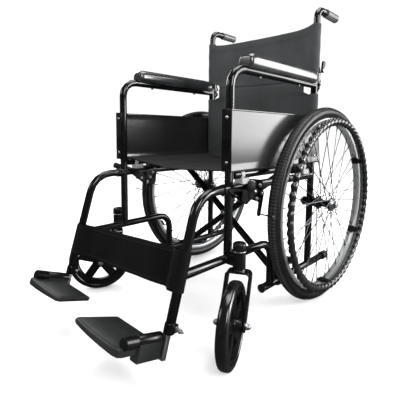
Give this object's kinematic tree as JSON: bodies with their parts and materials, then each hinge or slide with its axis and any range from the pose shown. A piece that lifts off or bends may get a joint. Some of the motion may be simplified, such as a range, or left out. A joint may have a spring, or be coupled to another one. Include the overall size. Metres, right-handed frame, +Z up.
{
  "type": "manual wheelchair",
  "caption": "Folding manual wheelchair: black tube frame, fabric seat and back, padded armrests, spoked self-propelling rear wheels, front casters and flip-up footplates.",
  "frame": {"origin": "on the floor, under the middle of the whole chair", "axes": "+Z up, -Y is the way the chair faces, +X is the sitter's left"},
  "size_m": [0.686, 1.0294, 0.935],
  "materials": {
    "frame_paint": "gloss",
    "black_plastic": "satin",
    "panel": "gloss",
    "vinyl": "satin",
    "fabric": "woven",
    "strap": "woven",
    "tyre": "matte",
    "caster_rubber": "satin",
    "rubber": "matte",
    "rim": "satin",
    "steel": "satin"
  },
  "bodies": {
    "left_side": {"left_frame": "frame_paint", "left_armrest_pad": "vinyl", "left_side_panel": "panel", "left_rail_plug": "black_plastic", "left_tipping_tip": "rubber", "left_rear_axle": "steel", "left_caster_cap": "black_plastic", "left_brake_bracket": "frame_paint", "calf_strap": "strap", "back_sling_lower": "fabric"},
    "left_back": {"left_upper_cane": "frame_paint", "left_handle_grip": "rubber", "back_sling_upper": "fabric"},
    "left_catch": {"left_back_latch": "black_plastic"},
    "left_wheel": {"left_rear_tyre": "tyre", "left_rim_and_spokes": "rim", "left_hub": "black_plastic", "left_handrim": "black_plastic"},
    "left_caster": {"left_caster_fork": "frame_paint", "left_caster_axle": "steel"},
    "left_caster_roller": {"left_caster_wheel": "black_plastic", "left_caster_tyre": "caster_rubber"},
    "left_footrest": {"left_footrest_tube": "steel"},
    "left_tread": {"left_footplate": "black_plastic"},
    "left_brake_handle": {"left_brake_lever": "black_plastic"},
    "left_brake_arm": {"left_brake_shoe": "steel"},
    "right_side": {"right_frame": "frame_paint", "right_armrest_pad": "vinyl", "right_side_panel": "panel", "right_rail_plug": "black_plastic", "right_tipping_tip": "rubber", "right_rear_axle": "steel", "right_caster_cap": "black_plastic", "right_brake_bracket": "frame_paint"},
    "right_back": {"right_upper_cane": "frame_paint", "right_handle_grip": "rubber"},
    "right_catch": {"right_back_latch": "black_plastic"},
    "right_wheel": {"right_rear_tyre": "tyre", "right_rim_and_spokes": "rim", "right_hub": "black_plastic", "right_handrim": "black_plastic"},
    "right_caster": {"right_caster_fork": "frame_paint", "right_caster_axle": "steel"},
    "right_caster_roller": {"right_caster_wheel": "black_plastic", "right_caster_tyre": "caster_rubber"},
    "right_footrest": {"right_footrest_tube": "steel"},
    "right_tread": {"right_footplate": "black_plastic"},
    "right_brake_handle": {"right_brake_lever": "black_plastic"},
    "right_brake_arm": {"right_brake_shoe": "steel"},
    "cross_front": {"brace_front": "frame_paint", "brace_pivot_bolt": "steel"},
    "cross_rear": {"brace_rear": "frame_paint"},
    "seat": {"seat_sling": "fabric"}
  },
  "joints": [
    {"name": "fold", "type": "hinge", "parent": "left_side", "child": "cross_front", "pos_m": [0.228, 0.03773, 0.093], "axis": [0, 1, 0], "range_deg": [0, 34], "deforming": ["seat_sling", "back_sling_upper", "back_sling_lower", "calf_strap"]},
    {"name": "cross_pivot", "type": "hinge", "parent": "cross_front", "child": "cross_rear", "pos_m": [0, 0.04972, 0.2605], "axis": [0, 1, 0], "range_deg": [-68, 0]},
    {"name": "right_side_swing", "type": "hinge", "parent": "cross_rear", "child": "right_side", "pos_m": [-0.228, 0.06173, 0.093], "axis": [0, 1, 0], "range_deg": [0, 34]},
    {"name": "seat_level", "type": "hinge", "parent": "cross_rear", "child": "seat", "pos_m": [0.228, 0.06173, 0.428], "axis": [0, 1, 0], "range_deg": [0, 34]},
    {"name": "left_back_fold", "type": "hinge", "parent": "left_side", "child": "left_back", "pos_m": [0.228, 0.22573, 0.69], "axis": [-1, 0, 0], "range_deg": [0, 100]},
    {"name": "left_catch_turn", "type": "hinge", "parent": "left_back", "child": "left_catch", "pos_m": [0.2395, 0.22973, 0.734], "axis": [-1, 0, 0], "range_deg": [0, 40]},
    {"name": "left_wheel_spin", "type": "hinge", "parent": "left_side", "child": "left_wheel", "pos_m": [0.2784, 0.20772, 0.307], "axis": [1, 0, 0], "continuous": true},
    {"name": "left_caster_swivel", "type": "hinge", "parent": "left_side", "child": "left_caster", "pos_m": [0.2664, -0.20727, 0.203], "axis": [0, 0, 1], "continuous": true},
    {"name": "left_caster_spin", "type": "hinge", "parent": "left_caster", "child": "left_caster_roller", "pos_m": [0.2927, -0.2612, 0.097], "axis": [0.8988, 0.4384, 0], "continuous": true},
    {"name": "left_footrest_slide", "type": "slide", "parent": "left_side", "child": "left_footrest", "axis": [0, -0.2773, -0.9608], "range_m": [0, 0.04]},
    {"name": "left_footplate_flip", "type": "hinge", "parent": "left_footrest", "child": "left_tread", "pos_m": [0.217, -0.39544, 0.09624], "axis": [0, 0.9608, -0.2773], "range_deg": [0, 90]},
    {"name": "left_brake_turn", "type": "hinge", "parent": "left_side", "child": "left_brake_handle", "pos_m": [0.2488, -0.12727, 0.382], "axis": [-1, 0, 0], "range_deg": [0, 50]},
    {"name": "left_brake_shoe_turn", "type": "hinge", "parent": "left_side", "child": "left_brake_arm", "pos_m": [0.2493, -0.09928, 0.374], "axis": [1, 0, 0], "range_deg": [0, 7.6]},
    {"name": "right_back_fold", "type": "hinge", "parent": "right_side", "child": "right_back", "pos_m": [-0.228, 0.22573, 0.69], "axis": [-1, 0, 0], "range_deg": [0, 100]},
    {"name": "right_catch_turn", "type": "hinge", "parent": "right_back", "child": "right_catch", "pos_m": [-0.2395, 0.22973, 0.734], "axis": [-1, 0, 0], "range_deg": [0, 40]},
    {"name": "right_wheel_spin", "type": "hinge", "parent": "right_side", "child": "right_wheel", "pos_m": [-0.2784, 0.20772, 0.307], "axis": [1, 0, 0], "continuous": true},
    {"name": "right_caster_swivel", "type": "hinge", "parent": "right_side", "child": "right_caster", "pos_m": [-0.2664, -0.20727, 0.203], "axis": [0, 0, 1], "continuous": true},
    {"name": "right_caster_spin", "type": "hinge", "parent": "right_caster", "child": "right_caster_roller", "pos_m": [-0.2927, -0.2612, 0.097], "axis": [0.8988, -0.4384, 0], "continuous": true},
    {"name": "right_footrest_slide", "type": "slide", "parent": "right_side", "child": "right_footrest", "axis": [0, -0.2773, -0.9608], "range_m": [0, 0.04]},
    {"name": "right_footplate_flip", "type": "hinge", "parent": "right_footrest", "child": "right_tread", "pos_m": [-0.217, -0.39608, 0.09646], "axis": [0, -0.9232, 0.3843], "range_deg": [0, 90]},
    {"name": "right_brake_turn", "type": "hinge", "parent": "right_side", "child": "right_brake_handle", "pos_m": [-0.2488, -0.12727, 0.382], "axis": [-1, 0, 0], "range_deg": [0, 50]},
    {"name": "right_brake_shoe_turn", "type": "hinge", "parent": "right_side", "child": "right_brake_arm", "pos_m": [-0.2493, -0.09928, 0.374], "axis": [1, 0, 0], "range_deg": [0, 7.6]}
  ],
  "couplings": [
    {"joint": "cross_pivot", "follows": "fold", "ratio": -2},
    {"joint": "right_side_swing", "follows": "fold", "ratio": 1},
    {"joint": "seat_level", "follows": "fold", "ratio": 1},
    {"joint": "left_footplate_flip", "follows": "fold", "ratio": 2.64},
    {"joint": "left_brake_shoe_turn", "follows": "left_brake_turn", "ratio": 0.15},
    {"joint": "right_footplate_flip", "follows": "fold", "ratio": 2.64},
    {"joint": "right_brake_shoe_turn", "follows": "right_brake_turn", "ratio": 0.15},
    {"joint": "right_back_fold", "follows": "left_back_fold", "ratio": 1}
  ]
}
